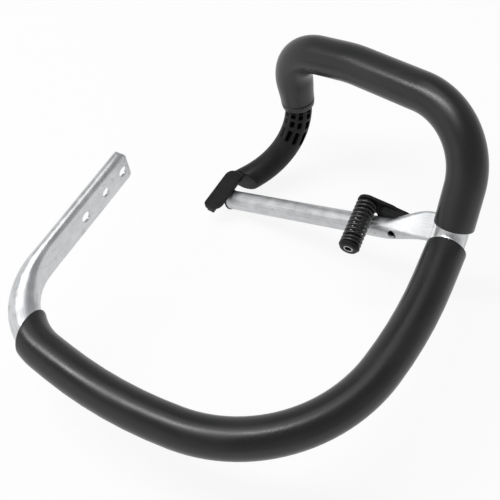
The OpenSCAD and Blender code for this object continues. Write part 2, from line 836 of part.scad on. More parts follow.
module plug_bush() {
    end = spring_len + fit_gap;
    color("silver")
        multmatrix(SPRING) translate([0, 0, end - boss_len]) difference() {
            cylinder(d = bush_od, h = boss_len + plug_t);
            translate([0, 0, -over]) cylinder(d = bush_bore, h = boss_len + plug_t + 2 * over);
        }
}

handle_tube();
lower_grip();
upper_grip();
support_arm();
spigot_rivet();
strut();
weld_bead();
foot_screw();
spring_seat();
seat_screw();
av_spring();
spring_plug();
plug_bush();
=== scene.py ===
"""Looks of a chainsaw's wraparound handle: bent tube, rubber grips, moulded arm, strut and spring.

Lengths in the classes are millimetres in the part's own frame. A mesh turns into metres when its
object is made.
"""

import logging
import math
from dataclasses import dataclass, field
from enum import Enum
from typing import Callable, Iterable, Sequence

import bmesh
import bpy
from mathutils import Matrix, Vector


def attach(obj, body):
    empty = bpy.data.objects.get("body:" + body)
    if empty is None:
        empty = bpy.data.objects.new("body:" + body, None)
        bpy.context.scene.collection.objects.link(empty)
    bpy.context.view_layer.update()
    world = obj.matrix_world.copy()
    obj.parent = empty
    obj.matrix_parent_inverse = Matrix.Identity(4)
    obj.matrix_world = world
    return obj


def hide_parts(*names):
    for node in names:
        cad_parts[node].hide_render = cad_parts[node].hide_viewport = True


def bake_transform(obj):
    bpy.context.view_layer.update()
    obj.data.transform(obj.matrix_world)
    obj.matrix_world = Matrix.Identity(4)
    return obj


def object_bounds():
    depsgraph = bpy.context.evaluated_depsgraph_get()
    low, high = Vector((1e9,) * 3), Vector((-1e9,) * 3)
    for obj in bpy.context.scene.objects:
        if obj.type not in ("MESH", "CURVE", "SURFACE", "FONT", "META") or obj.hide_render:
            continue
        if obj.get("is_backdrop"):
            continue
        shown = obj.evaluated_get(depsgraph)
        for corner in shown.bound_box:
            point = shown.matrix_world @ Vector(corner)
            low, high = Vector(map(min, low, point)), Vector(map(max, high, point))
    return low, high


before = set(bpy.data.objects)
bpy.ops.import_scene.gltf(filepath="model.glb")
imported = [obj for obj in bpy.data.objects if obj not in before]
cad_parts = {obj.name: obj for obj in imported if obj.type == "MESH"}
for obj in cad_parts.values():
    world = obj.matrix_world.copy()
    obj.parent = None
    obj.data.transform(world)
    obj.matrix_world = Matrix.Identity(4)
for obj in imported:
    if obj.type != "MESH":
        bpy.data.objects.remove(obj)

log = logging.getLogger("handle")
MM = 0.001
HANDLE = "handle"
SPRING_END = "spring_end"
LAY = "lay"


class Coords(Enum):
    """What a finish takes its pattern's coordinates from, in millimetres either way."""

    LAY = "distance along the piece and place in its section"
    FRAME = "place in the part's frame"


class Cut(Enum):
    """How a grip ends at its first rim."""

    SQUARE = "square to the tube"
    SLANTED = "in a slanted plane"


def shift(x: float = 0.0, y: float = 0.0, z: float = 0.0) -> Matrix:
    """Matrix of a move."""
    return Matrix.Translation((x, y, z))


def roll(degrees: float) -> Matrix:
    """Matrix of a turn about X."""
    return Matrix.Rotation(math.radians(degrees), 4, "X")


def yaw(degrees: float) -> Matrix:
    """Matrix of a turn about Z."""
    return Matrix.Rotation(math.radians(degrees), 4, "Z")


def around(radius: float, degrees: float) -> Matrix:
    """Matrix of a move along an arc that curves to +Y."""
    a = math.radians(degrees)
    return shift(radius * math.sin(a), radius * (1 - math.cos(a))) @ yaw(degrees)


def ease(k: float) -> float:
    """Smooth step from 0 to 1."""
    return k * k * (3 - 2 * k)


def mix(a: float, b: float, k: float) -> float:
    """Value between a and b."""
    return a + (b - a) * k


def oval_width(girth_d: float, thickness: float) -> float:
    """Width of the flat oval that a round tube is pressed to."""
    return (math.pi * girth_d - (math.pi - 2) * thickness) / 2


@dataclass(frozen=True)
class Bend:
    """One bend of the centre line, with the straight run before it."""

    run: float
    radius: float
    angle: float
    turn: float = 0.0

    @property
    def arc(self) -> float:
        """Length of the bend along the centre line."""
        return math.radians(self.angle) * self.radius


@dataclass
class CentreLine:
    """The line that the tube, the grips and the support arm follow."""

    start: Matrix
    bends: Sequence[Bend]
    straight_step: float = 14.0
    arc_step: float = 3.0

    def mark(self, index: int) -> float:
        """Distance along the line at which a bend, with its straight run, begins."""
        return sum(b.run + b.arc for b in self.bends[:index])

    def bend_start(self, index: int) -> float:
        """Distance along the line at which a bend itself begins."""
        return self.mark(index) + self.bends[index].run

    def _walk(self, s: float) -> tuple[Matrix, float]:
        """Frame at a distance, and the turns of the bend plane up to there.

        Args:
            s: Distance from the tip.

        Returns:
            The frame with X onward and Y to the inside of the bend, and the sum of the turns.
        """
        m = self.start.copy()
        turned = 0.0
        for b in self.bends:
            if s <= b.run:
                return m @ shift(s), turned
            m = m @ shift(b.run) @ roll(b.turn)
            turned += b.turn
            s -= b.run
            if s <= b.arc:
                return m @ around(b.radius, math.degrees(s / b.radius)), turned
            m = m @ around(b.radius, b.angle)
            s -= b.arc
        return m @ shift(s), turned

    def frame(self, s: float) -> Matrix:
        """Frame at a distance, X onward and Y to the inside of the bend."""
        return self._walk(s)[0]

    def section(self, s: float) -> Matrix:
        """Frame at a distance without the turns, so that neighbouring rings don't twist."""
        m, turned = self._walk(s)
        return m @ roll(-turned)

    def stations(self, start: float, end: float) -> list[float]:
        """Distances at which a sweep needs a ring.

        Args:
            start: First distance.
            end: Last distance.

        Returns:
            Distances from start to end, closer together in the bends.
        """
        marks, at, margin = [start], 0.0, 0.4
        for b in self.bends:
            spans = (
                (b.run, max(1, round(b.run / self.straight_step))),
                (b.arc, max(1, math.ceil(b.angle / self.arc_step))),
            )
            for length, steps in spans:
                for k in range(1, steps + 1):
                    s = at + length * k / steps
                    if length > 0 and start + margin < s < end - margin:
                        marks.append(s)
                at += length
        return [*marks, end]


@dataclass
class Loft:
    """Rings of points, joined to a closed skin."""

    name: str
    points: list[list[Vector]] = field(default_factory=list)
    lays: list[list[Vector]] = field(default_factory=list)

    def ring(self, points: Iterable[Vector], lays: Iterable[Vector]) -> None:
        """Adds a ring.

        Args:
            points: The ring's points in the part's frame.
            lays: For each point, its distance along the piece and its place in the section.
        """
        self.points.append(list(points))
        self.lays.append(list(lays))

    def object(self, loop: bool = True) -> bpy.types.Object:
        """Makes the mesh object.

        Args:
            loop: True to join the last ring to the first, False to close both ends.

        Returns:
            The object, with its lay written to each point.
        """
        count, sides = len(self.points), len(self.points[0])
        verts = [p * MM for ring in self.points for p in ring]
        faces = []
        for i in range(count if loop else count - 1):
            a, b = i * sides, (i + 1) % count * sides
            for j in range(sides):
                k = (j + 1) % sides
                faces.append((a + j, a + k, b + k, b + j))
        if not loop:
            faces.append(tuple(range(sides)))
            faces.append(tuple(range(count * sides - 1, (count - 1) * sides - 1, -1)))
        return mesh_object(self.name, verts, faces, [v for ring in self.lays for v in ring])


def mesh_object(
    name: str,
    verts: Sequence[Vector],
    faces: Sequence[Sequence[int]],
    lays: Sequence[Vector] = (),
) -> bpy.types.Object:
    """Makes an object from points and faces, with its faces turned outward.

    Args:
        name: Name of the object.
        verts: Points in metres.
        faces: Faces as indices into verts.
        lays: For each point, its distance along the piece and its place in the section.

    Returns:
        The object, linked to the scene.
    """
    mesh = bpy.data.meshes.new(name)
    mesh.from_pydata([tuple(v) for v in verts], [], [tuple(f) for f in faces])
    if lays:
        attribute = mesh.attributes.new(LAY, "FLOAT_VECTOR", "POINT")
        attribute.data.foreach_set("vector", [c for v in lays for c in v])
    bm = bmesh.new()
    bm.from_mesh(mesh)
    bmesh.ops.recalc_face_normals(bm, faces=bm.faces)
    bm.to_mesh(mesh)
    bm.free()
    obj = bpy.data.objects.new(name, mesh)
    bpy.context.scene.collection.objects.link(obj)
    return obj


def apply_modifiers(obj: bpy.types.Object) -> None:
    """Puts what the modifiers make into the object's own mesh."""
    bpy.context.view_layer.update()
    evaluated = obj.evaluated_get(bpy.context.evaluated_depsgraph_get())
    made = bpy.data.meshes.new_from_object(evaluated)
    made.name = obj.name
    obj.modifiers.clear()
    obj.data = made


def shade(obj: bpy.types.Object, degrees: float = 32.0) -> None:
    """Smooth shading, with edges kept where faces meet at a wider angle."""
    for face in obj.data.polygons:
        face.use_smooth = True
    obj.data.set_sharp_from_angle(angle=math.radians(degrees))


def lay_out(obj: bpy.types.Object, place: Matrix, reach: tuple[float, float, float]) -> None:
    """Writes the lay anew after cuts, for the points within a box at a frame.

    Args:
        obj: The piece.
        place: The frame, X along the piece.
        reach: How far the box goes along X from the frame, and to both sides along Y and Z.
    """
    back = place.inverted() @ Matrix.Scale(1 / MM, 4)
    data = obj.data.attributes[LAY].data
    for vert, lay in zip(obj.data.vertices, data):
        spot = back @ vert.co
        if -1 < spot.x < reach[0] and abs(spot.y) < reach[1] and abs(spot.z) < reach[2]:
            lay.vector = spot


def carve(obj: bpy.types.Object, cutter: bpy.types.Object) -> None:
    """Takes the cutter's room away from the object, and deletes the cutter."""
    modifier = obj.modifiers.new("carve", "BOOLEAN")
    modifier.operation = "DIFFERENCE"
    modifier.solver = "EXACT"
    modifier.object = cutter
    apply_modifiers(obj)
    bpy.data.objects.remove(cutter)


def turned(
    name: str, place: Matrix, profile: Sequence[tuple[float, float]], sides: int = 64
) -> bpy.types.Object:
    """Turns a closed profile about the Z axis of a frame.

    Args:
        name: Name of the object.
        place: Frame whose Z is the axis.
        profile: Pairs of radius and height, in order round the profile.
        sides: Number of points in a ring.

    Returns:
        The object.
    """
    loft = Loft(name)
    for r, z in profile:
        spots = [
            Vector((r * math.cos(a), r * math.sin(a), z))
            for a in (2 * math.pi * j / sides for j in range(sides))
        ]
        loft.ring([place @ p for p in spots], [Vector((p.z, p.x, p.y)) for p in spots])
    return loft.object(loop=True)


def rod(
    name: str, place: Matrix, steps: Sequence[tuple[float, float]], sides: int = 48
) -> bpy.types.Object:
    """Solid of revolution between flat ends, such as a drill's room.

    Args:
        name: Name of the object.
        place: Frame whose Z is the axis.
        steps: Pairs of radius and height along the axis.
        sides: Number of points in a ring.

    Returns:
        The object.
    """
    loft = Loft(name)
    for r, z in steps:
        spots = [
            Vector((r * math.cos(a), r * math.sin(a), z))
            for a in (2 * math.pi * j / sides for j in range(sides))
        ]
        loft.ring([place @ p for p in spots], spots)
    return loft.object(loop=False)


def prism(
    name: str, place: Matrix, outline: Sequence[tuple[float, float]], low: float, high: float
) -> bpy.types.Object:
    """Prism over an outline in the XZ plane of a frame, along Y.

    Args:
        name: Name of the object.
        place: Frame of the outline.
        outline: Pairs of X and Z.
        low: First Y.
        high: Last Y.

    Returns:
        The object.
    """
    loft = Loft(name)
    for y in (low, high):
        spots = [Vector((x, y, z)) for x, z in outline]
        loft.ring([place @ p for p in spots], spots)
    return loft.object(loop=False)


def fillet(centre: tuple[float, float], radius: float, start: float, end: float) -> list:
    """Points of an arc in the plane.

    Args:
        centre: The arc's centre.
        radius: Its radius.
        start: First angle in degrees.
        end: Last angle in degrees.

    Returns:
        Pairs of coordinates.
    """
    steps = max(2, round(abs(end - start) / 15))
    angles = [math.radians(mix(start, end, k / steps)) for k in range(steps + 1)]
    return [(centre[0] + radius * math.cos(a), centre[1] + radius * math.sin(a)) for a in angles]


class Board:
    """A material's node tree, with short calls for what the finishes use."""

    def __init__(self, name: str, coords: Coords) -> None:
        """Starts a material.

        Args:
            name: Name of the material.
            coords: What its pattern's coordinates are taken from.
        """
        self.material = bpy.data.materials.new(name)
        self.material.use_nodes = True
        self.tree = self.material.node_tree
        self.shader = self.tree.nodes["Principled BSDF"]
        self.coords = self._coords(coords)

    def _coords(self, coords: Coords) -> bpy.types.NodeSocket:
        """Socket that carries the coordinates in millimetres."""
        if coords is Coords.LAY:
            return self.node("ShaderNodeAttribute", attribute_name=LAY).outputs["Vector"]
        place = self.node("ShaderNodeTexCoord").outputs["Object"]
        scale = self.node("ShaderNodeVectorMath", operation="SCALE")
        scale.inputs["Scale"].default_value = 1 / MM
        self.tree.links.new(place, scale.inputs[0])
        return scale.outputs[0]

    def node(self, kind: str, **settings: object) -> bpy.types.Node:
        """Adds a node and sets its properties."""
        made = self.tree.nodes.new(kind)
        for key, value in settings.items():
            setattr(made, key, value)
        return made

    def stretched(self, along: float, across: float) -> bpy.types.NodeSocket:
        """Coordinates scaled along the piece and across it, for streaks."""
        scaled = self.node("ShaderNodeVectorMath", operation="MULTIPLY")
        scaled.inputs[1].default_value = (along, across, across)
        self.tree.links.new(self.coords, scaled.inputs[0])
        return scaled.outputs[0]

    def noise(
        self,
        size: float,
        detail: float = 2.0,
        coords: bpy.types.NodeSocket | None = None,
        distortion: float = 0.0,
    ) -> bpy.types.NodeSocket:
        """Noise whose features have a given size.

        Args:
            size: Size of a feature in millimetres.
            detail: Number of finer layers.
            coords: Coordinates, or None for the material's own.
            distortion: How far the pattern is swirled.

        Returns:
            Socket with a value around 0.5.
        """
        noise = self.node("ShaderNodeTexNoise")
        noise.inputs["Scale"].default_value = 1 / size
        noise.inputs["Detail"].default_value = detail
        noise.inputs["Distortion"].default_value = distortion
        self.tree.links.new(coords or self.coords, noise.inputs["Vector"])
        return noise.outputs["Fac"]

    def span(
        self, value: bpy.types.NodeSocket, low: float, high: float, to_low: float, to_high: float
    ) -> bpy.types.NodeSocket:
        """Maps a value from one range to another, held at its ends."""
        node = self.node("ShaderNodeMapRange")
        for name, number in (
            ("From Min", low),
            ("From Max", high),
            ("To Min", to_low),
            ("To Max", to_high),
        ):
            node.inputs[name].default_value = number
        self.tree.links.new(value, node.inputs["Value"])
        return node.outputs["Result"]

    def sum(self, *values: bpy.types.NodeSocket) -> bpy.types.NodeSocket:
        """Adds values."""
        total = values[0]
        for value in values[1:]:
            node = self.node("ShaderNodeMath", operation="ADD")
            self.tree.links.new(total, node.inputs[0])
            self.tree.links.new(value, node.inputs[1])
            total = node.outputs[0]
        return total

    def blend(
        self,
        share: bpy.types.NodeSocket,
        a: bpy.types.NodeSocket | tuple[float, float, float],
        b: bpy.types.NodeSocket | tuple[float, float, float],
    ) -> bpy.types.NodeSocket:
        """Colour between two colours.

        Args:
            share: 0 for a, 1 for b.
            a: First colour, as numbers or a socket.
            b: Second colour, as numbers or a socket.

        Returns:
            Socket with the colour.
        """
        node = self.node("ShaderNodeMix", data_type="RGBA")
        self.tree.links.new(share, node.inputs["Factor"])
        for socket, colour in ((node.inputs[6], a), (node.inputs[7], b)):
            if isinstance(colour, tuple):
                socket.default_value = (*colour, 1.0)
            else:
                self.tree.links.new(colour, socket)
        return node.outputs[2]

    def colour(self, socket: bpy.types.NodeSocket) -> None:
        """Uses a colour as the surface's own."""
        self.tree.links.new(socket, self.shader.inputs["Base Color"])

    def roughness(self, socket: bpy.types.NodeSocket) -> None:
        """Uses a value as the surface's roughness."""
        self.tree.links.new(socket, self.shader.inputs["Roughness"])

    def bump(self, height: bpy.types.NodeSocket, depth: float) -> None:
        """Raises the surface by a height of at most depth millimetres."""
        node = self.node("ShaderNodeBump")
        node.inputs["Distance"].default_value = depth * MM
        self.tree.links.new(height, node.inputs["Height"])
        self.tree.links.new(node.outputs["Normal"], self.shader.inputs["Normal"])


@dataclass(frozen=True)
class Rubber:
    """Matte rubber with a fine speckle, a little dusty."""

    dark: tuple[float, float, float] = (0.0055, 0.0057, 0.0059)
    light: tuple[float, float, float] = (0.0115, 0.0118, 0.0122)
    dust: tuple[float, float, float] = (0.026, 0.0255, 0.0248)
    grain: float = 0.45
    clouds: float = 14.0
    rough: float = 0.26
    specular: float = 0.50

    def material(self, name: str, coords: Coords) -> bpy.types.Material:
        """Makes the material."""
        board = Board(name, coords)
        fine = board.noise(self.grain, detail=3)
        patch = board.noise(self.clouds, detail=4, coords=board.stretched(0.35, 1.0))
        body = board.blend(board.span(fine, 0.3, 0.7, 0, 1), self.dark, self.light)
        worn = board.span(patch, 0.52, 0.8, 0, 0.5)
        board.colour(board.blend(worn, body, self.dust))
        low = self.rough
        board.roughness(board.sum(board.span(patch, 0.3, 0.7, low, low + 0.1),
                                  board.span(fine, 0.3, 0.7, -0.04, 0.04)))
        board.shader.inputs["Specular IOR Level"].default_value = self.specular
        pores = board.noise(self.grain * 0.7, detail=2)
        board.bump(board.sum(fine, pores), 0.014)
        return board.material


@dataclass(frozen=True)
class Aluminium:
    """Satin drawn aluminium, with streaks along it, scuffs and a few stains."""

    deep: tuple[float, float, float] = (0.50, 0.51, 0.52)
    bright: tuple[float, float, float] = (0.72, 0.73, 0.74)
    stain: tuple[float, float, float] = (0.36, 0.36, 0.29)
    speck: tuple[float, float, float] = (0.12, 0.11, 0.09)
    streak: float = 0.8
    clouds: float = 9.0
    rough: float = 0.26

    def material(self, name: str, coords: Coords) -> bpy.types.Material:
        """Makes the material."""
        board = Board(name, coords)
        drawn = board.noise(self.streak, detail=3, coords=board.stretched(0.03, 1.0))
        patch = board.noise(self.clouds, detail=5)
        scuff = board.noise(1.6, detail=4, coords=board.stretched(0.5, 1.0), distortion=1.4)
        spots = board.noise(6.0, detail=6, distortion=0.6)
        shine = board.span(board.sum(drawn, patch), 0.7, 1.3, 0, 1)
        body = board.blend(shine, self.deep, self.bright)
        marked = board.blend(board.span(scuff, 0.64, 0.74, 0, 0.45), body, self.deep)
        specks = board.noise(1.3, detail=2, coords=board.stretched(0.7, 1.0))
        stained = board.blend(board.span(spots, 0.60, 0.72, 0, 0.6), marked, self.stain)
        board.colour(board.blend(board.span(specks, 0.74, 0.80, 0, 0.7), stained, self.speck))
        low = self.rough
        board.roughness(board.sum(board.span(patch, 0.3, 0.7, low, low + 0.14),
                                  board.span(drawn, 0.3, 0.7, 0, 0.06),
                                  board.span(scuff, 0.6, 0.75, 0, 0.12)))
        board.shader.inputs["Metallic"].default_value = 1.0
        board.bump(board.sum(drawn, board.span(scuff, 0.6, 0.75, 0, 0.8)), 0.012)
        return board.material


@dataclass(frozen=True)
class Moulding:
    """Black moulded plastic with a fine grain."""

    dark: tuple[float, float, float] = (0.006, 0.0061, 0.0063)
    light: tuple[float, float, float] = (0.013, 0.0132, 0.0136)
    grain: float = 0.35
    rough: float = 0.42
    specular: float = 0.20

    def material(self, name: str, coords: Coords) -> bpy.types.Material:
        """Makes the material."""
        board = Board(name, coords)
        fine = board.noise(self.grain, detail=2)
        patch = board.noise(7.0, detail=4)
        board.colour(board.blend(board.span(board.sum(fine, patch), 0.75, 1.25, 0, 1),
                                 self.dark, self.light))
        board.roughness(board.span(patch, 0.3, 0.7, self.rough, self.rough + 0.14))
        board.shader.inputs["Specular IOR Level"].default_value = self.specular
        board.bump(fine, 0.012)
        return board.material


@dataclass(frozen=True)
class SpringPaint:
    """Black paint on spring wire, rubbed a little along the turns."""

    dark: tuple[float, float, float] = (0.010, 0.0105, 0.011)
    rubbed: tuple[float, float, float] = (0.030, 0.030, 0.032)
    rough: float = 0.24

    def material(self, name: str, coords: Coords) -> bpy.types.Material:
        """Makes the material."""
        board = Board(name, coords)
        rub = board.noise(1.8, detail=5, coords=board.stretched(0.25, 1.0))
        fine = board.noise(0.3, detail=2)
        board.colour(board.blend(board.span(rub, 0.55, 0.8, 0, 0.7), self.dark, self.rubbed))
        board.roughness(board.span(rub, 0.3, 0.7, self.rough, self.rough + 0.18))
        board.shader.inputs["Coat Weight"].default_value = 0.25
        board.shader.inputs["Coat Roughness"].default_value = 0.2
        board.bump(board.sum(fine, rub), 0.02)
        return board.material


@dataclass(frozen=True)
class Steel:
    """Zinc plated or turned steel, with fine rings or streaks."""

    dull: tuple[float, float, float] = (0.32, 0.32, 0.33)
    bright: tuple[float, float, float] = (0.56, 0.56, 0.57)
    rough: float = 0.24

    def material(self, name: str, coords: Coords) -> bpy.types.Material:
        """Makes the material."""
        board = Board(name, coords)
        lines = board.noise(0.25, detail=3, coords=board.stretched(1.0, 0.08))
        patch = board.noise(2.5, detail=4)
        board.colour(board.blend(board.span(board.sum(lines, patch), 0.75, 1.3, 0, 1),
                                 self.dull, self.bright))
        board.roughness(board.span(patch, 0.3, 0.7, self.rough, self.rough + 0.16))
        board.shader.inputs["Metallic"].default_value = 1.0
        board.bump(lines, 0.01)
        return board.material


@dataclass(frozen=True)
class Weld:
    """Aluminium weld, duller than the tube and smoked in patches."""

    body: tuple[float, float, float] = (0.60, 0.61, 0.61)
    smoke: tuple[float, float, float] = (0.20, 0.20, 0.20)
    rough: float = 0.38

    def material(self, name: str, coords: Coords) -> bpy.types.Material:
        """Makes the material."""
        board = Board(name, coords)
        soot = board.noise(2.2, detail=5)
        fine = board.noise(0.4, detail=3)
        board.colour(board.blend(board.span(soot, 0.5, 0.72, 0, 0.8), self.body, self.smoke))
        board.roughness(board.span(fine, 0.3, 0.7, self.rough, self.rough + 0.2))
        board.shader.inputs["Metallic"].default_value = 1.0
        board.bump(board.sum(soot, fine), 0.06)
        return board.material


def dress(obj: bpy.types.Object, material: bpy.types.Material) -> None:
    """Gives an object one material all over."""
    if obj.data.materials:
        for index in range(len(obj.data.materials)):
            obj.data.materials[index] = material
    else:
        obj.data.materials.append(material)


def settle(
    obj: bpy.types.Object,
    material: bpy.types.Material,
    node: str,
    body: str | None = HANDLE,
) -> bpy.types.Object:
    """Dresses a piece, makes it ride and says which solid it stands for.

    Args:
        obj: The piece.
        material: Its material.
        node: The solid that it replaces.
        body: The body that it rides on, or None for a piece that spans two bodies and rides on
            neither.

    Returns:
        The piece.
    """
    dress(obj, material)
    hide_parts(node)
    if body:
        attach(obj, body)
    log.info("%s: %d faces, stands for %s", obj.name, len(obj.data.polygons), node)
    return obj


@dataclass
class HandleTube:
    """The bent tube: a flat, milled end with three bolt holes, and round from the first bend on."""

    od: float = 24.0
    wall: float = 2.0
    flat_t: float = 9.5
    flat_len: float = 92.0
    morph_len: float = 62.0
    open_len: float = 76.0
    mill_r: float = 8.0
    web_drop: float = 13.5
    tip_corner: float = 5.0
    lip_corner: float = 7.2
    holes: tuple[tuple[float, float], ...] = ((7.5, 8.5), (30.0, 7.5), (56.0, 9.0))
    edge: float = 0.35
    lip_over: float = 2.0
    bends: tuple[Bend, ...] = (
        Bend(107.5, 56.0, 82.2),
        Bend(14.0, 340.0, 16.9),
        Bend(0.0, 118.0, 75.3),
        Bend(0.0, 340.0, 13.2),
        Bend(30.0, 16.0, 52.5, 90.0),
        Bend(32.5, 55.0, 88.2, -108.5),
        Bend(55.0, 110.0, 7.5),
        Bend(25.0, 32.0, 85.0, -28.5),
        Bend(25.5, 32.0, 9.5, 130.0),
        Bend(0.0, 75.0, 63.5),
    )
    corner: int = 0
    vee: int = 4
    arm: int = 8

    def __post_init__(self) -> None:
        """Works out the centre line and the sizes that follow."""
        self.tip_x = self.holes[1][0]
        self.flat_w = oval_width(self.od, self.flat_t)
        start = shift(self.tip_x, (self.flat_t - self.wall) / 2) @ yaw(180)
        self.line = CentreLine(start, self.bends)
        self.end = self.line.bend_start(self.arm) - self.lip_over

    def section_size(self, s: float) -> tuple[float, float]:
        """Width and thickness of the section at a distance from the tip."""
        k = ease(min(max((s - self.flat_len) / self.morph_len, 0.0), 1.0))
        return mix(self.flat_w, self.od, k), mix(self.flat_t, self.od, k)

    def _ring(self, loft: Loft, s: float, inset: float) -> None:
        """Adds the ring of the skin or the bore at a distance."""
        w, t = self.section_size(s)
        place = self.line.section(s)
        spots = [Vector((0, y, z)) for y, z in oval_points(w - 2 * inset, t - 2 * inset)]
        loft.ring([place @ p for p in spots], [Vector((s, p.y, p.z)) for p in spots])

    def skin(self) -> bpy.types.Object:
        """Tube with its bore, before anything is cut."""
        loft = Loft("bare_tube")
        marks = self.line.stations(0.0, self.end)
        steps = 24
        marks += [self.flat_len + self.morph_len * k / steps for k in range(steps + 1)]
        marks = sorted(set(round(s, 3) for s in marks))
        outer = [(s, 0.0) for s in marks]
        outer[0:1] = [(0.0, self.edge), (self.edge, 0.0)]
        for s, inset in outer:
            self._ring(loft, s, inset)
        for s in reversed(marks):
            self._ring(loft, s, self.wall)
        return loft.object(loop=True)

    def mill_open(self, obj: bpy.types.Object) -> None:
        """Cuts the back of the flat end away up to a round end, and its lower edge."""
        roof = (self.flat_w - self.flat_t) / 2
        low, tip, over = -self.flat_w, -2.0, 20.0
        end, mill, r, drop = self.open_len, self.mill_r, self.tip_corner, -self.web_drop
        outline = [(tip, low), (end, low), *fillet((end - mill, roof - mill), mill, 0, 90),
                   (tip, roof)]
        back = self.flat_t / 2 - self.wall
        # The mill works from the back, which is the tube's inner side
        carve(obj, prism("mill", self.line.start, outline, back, -over))
        slot = [(tip, low), (end, low), (end, drop), *fillet((r, drop + r), r, 270, 180),
                (tip, drop + r)]
        carve(obj, prism("slot", self.line.start, slot, -over, over))

    def round_tip(self, obj: bpy.types.Object) -> None:
        """Rounds the upper corner at the tip, as seen from the side and from above."""
        over, hair = 3.0, 0.03
        for place, top, r in ((self.line.start, self.flat_w / 2, self.tip_corner),
                              (self.line.start @ roll(90), self.flat_t / 2, self.lip_corner)):
            waste = [(-over, top + over), (r, top + over), (r, top + hair),
                     *fillet((r, top - r), r, 90, 180), (-over, top - r)]
            carve(obj, prism("corner", place, waste, -20.0, 20.0))

    def drill(self, obj: bpy.types.Object) -> None:
        """Drills the bolt holes through the web, with a broken edge on both sides."""
        front = self.flat_t / 2
        for x, d in self.holes:
            r, e, web = d / 2, self.edge, self.wall
            place = self.line.start @ shift(x, front) @ Matrix.Rotation(math.pi / 2, 4, "X")
            steps = [(r + 2 * e, -e), (r, e), (r, web - e), (r + 2 * e, web + e),
                     (r + 2 * e, web + self.flat_t / 2)]
            carve(obj, rod("drill", place, steps))

    def build(self, finish: Aluminium) -> bpy.types.Object:
        """Builds and dresses the tube."""
        obj = self.skin()
        self.round_tip(obj)
        self.mill_open(obj)
        self.drill(obj)
        lay_out(obj, self.line.start, (self.flat_len, self.flat_w, self.flat_w))
        shade(obj)
        return settle(obj, finish.material("drawn_tube", Coords.LAY), "handle_tube")


def oval_points(w: float, t: float, steps: int = 14) -> list[tuple[float, float]]:
    """Outline of a flat oval.

    Args:
        w: Width, along the second axis.
        t: Thickness, along the first axis.
        steps: Steps in each of the two round ends.

    Returns:
        Pairs of coordinates, round the outline.
    """
    points = []
    flat = max((w - t) / 2, 0.004)
    for side in (1, -1):
        for j in range(steps + 1):
            a = math.pi * j / steps
            points.append((side * t / 2 * math.cos(a), side * (flat + t / 2 * math.sin(a))))
    return points


@dataclass
class Grip:
    """A rubber sleeve on the tube, with rounded rims."""

    name: str
    tube: HandleTube
    start: float
    end: float
    od: float = 30.0
    bore: float = 24.2
    rim_r: float = 1.2
    sides: int = 72
    cut: Cut = Cut.SQUARE
    slant: float = 32.5
    slant_turn: float = 16.0
    blend_len: float = 16.0

    def __post_init__(self) -> None:
        """Works out the plane of the first rim."""
        tilt = self.slant if self.cut is Cut.SLANTED else 0.0
        place = self.tube.line.frame(self.start) @ roll(self.slant_turn) @ yaw(tilt)
        self.plane_at = place.translation
        self.plane_out = place.col[0].to_3d().normalized()

    def _rim(self, angle: float, r: float) -> float:
        """Distance along the tube at which the first rim's plane cuts a line of the sleeve."""
        if self.cut is Cut.SQUARE:
            return self.start
        s = self.start
        for _ in range(12):
            spot = self.tube.line.section(s) @ Vector((0, r * math.cos(angle), r * math.sin(angle)))
            s -= (spot - self.plane_at).dot(self.plane_out) * 0.8
        return s

    def _add(self, loft: Loft, where: Callable[[float], float], r: float) -> None:
        """Adds a ring.

        Args:
            loft: The skin.
            where: Gives the distance along the tube for an angle round it.
            r: The ring's radius.
        """
        spots, lays = [], []
        for j in range(self.sides):
            angle = 2 * math.pi * j / self.sides
            s, y, z = where(angle), r * math.cos(angle), r * math.sin(angle)
            spots.append(self.tube.line.section(s) @ Vector((0, y, z)))
            lays.append(Vector((s, y, z)))
        loft.ring(spots, lays)

    def profile_end(self) -> list[tuple[float, float]]:
        """Distance and radius of the rings at the last rim."""
        r, f = self.od / 2, self.rim_r
        return [(self.end - f + x, y) for x, y in fillet((0, r - f), f, 90, 0)]

    def body_end(self) -> float:
        """Distance at which the plain round body ends."""
        return self.end - self.rim_r

    def build(self, finish: Rubber, node: str) -> bpy.types.Object:
        """Builds and dresses the sleeve.

        Args:
            finish: The rubber.
            node: The solid that it replaces.

        Returns:
            The piece.
        """
        loft = Loft(self.name)
        r, f, bore = self.od / 2, self.rim_r, self.bore / 2
        for x, y in fillet((f, r - f), f, 180, 90):
            self._add(loft, lambda a, x=x, y=y: self._rim(a, y) + x, y)
        clear = self.start + self.blend_len
        if self.cut is Cut.SLANTED:
            steps = 8
            for k in range(1, steps + 1):
                share = k / (steps + 1)
                self._add(loft, lambda a, q=share: mix(self._rim(a, r) + f, clear, q), r)
        first = clear if self.cut is Cut.SLANTED else self.start + f
        for s in self.tube.line.stations(first, self.body_end()):
            if s > first or self.cut is Cut.SLANTED:
                self._add(loft, lambda a, s=s: s, r)
        last = 0.0
        for s, y in self.profile_end():
            last = s
            self._add(loft, lambda a, s=s: s, y)
        inner = [s for s in self.tube.line.stations(first, last)]
        for s in reversed(inner):
            self._add(loft, lambda a, s=s: s, bore)
        if self.cut is Cut.SLANTED:
            self._add(loft, lambda a: self._rim(a, bore) + f, bore)
        self._add(loft, lambda a: self._rim(a, bore), bore + 0.3)
        obj = loft.object(loop=True)
        shade(obj, 40)
        return settle(obj, finish.material(self.name, Coords.LAY), node)


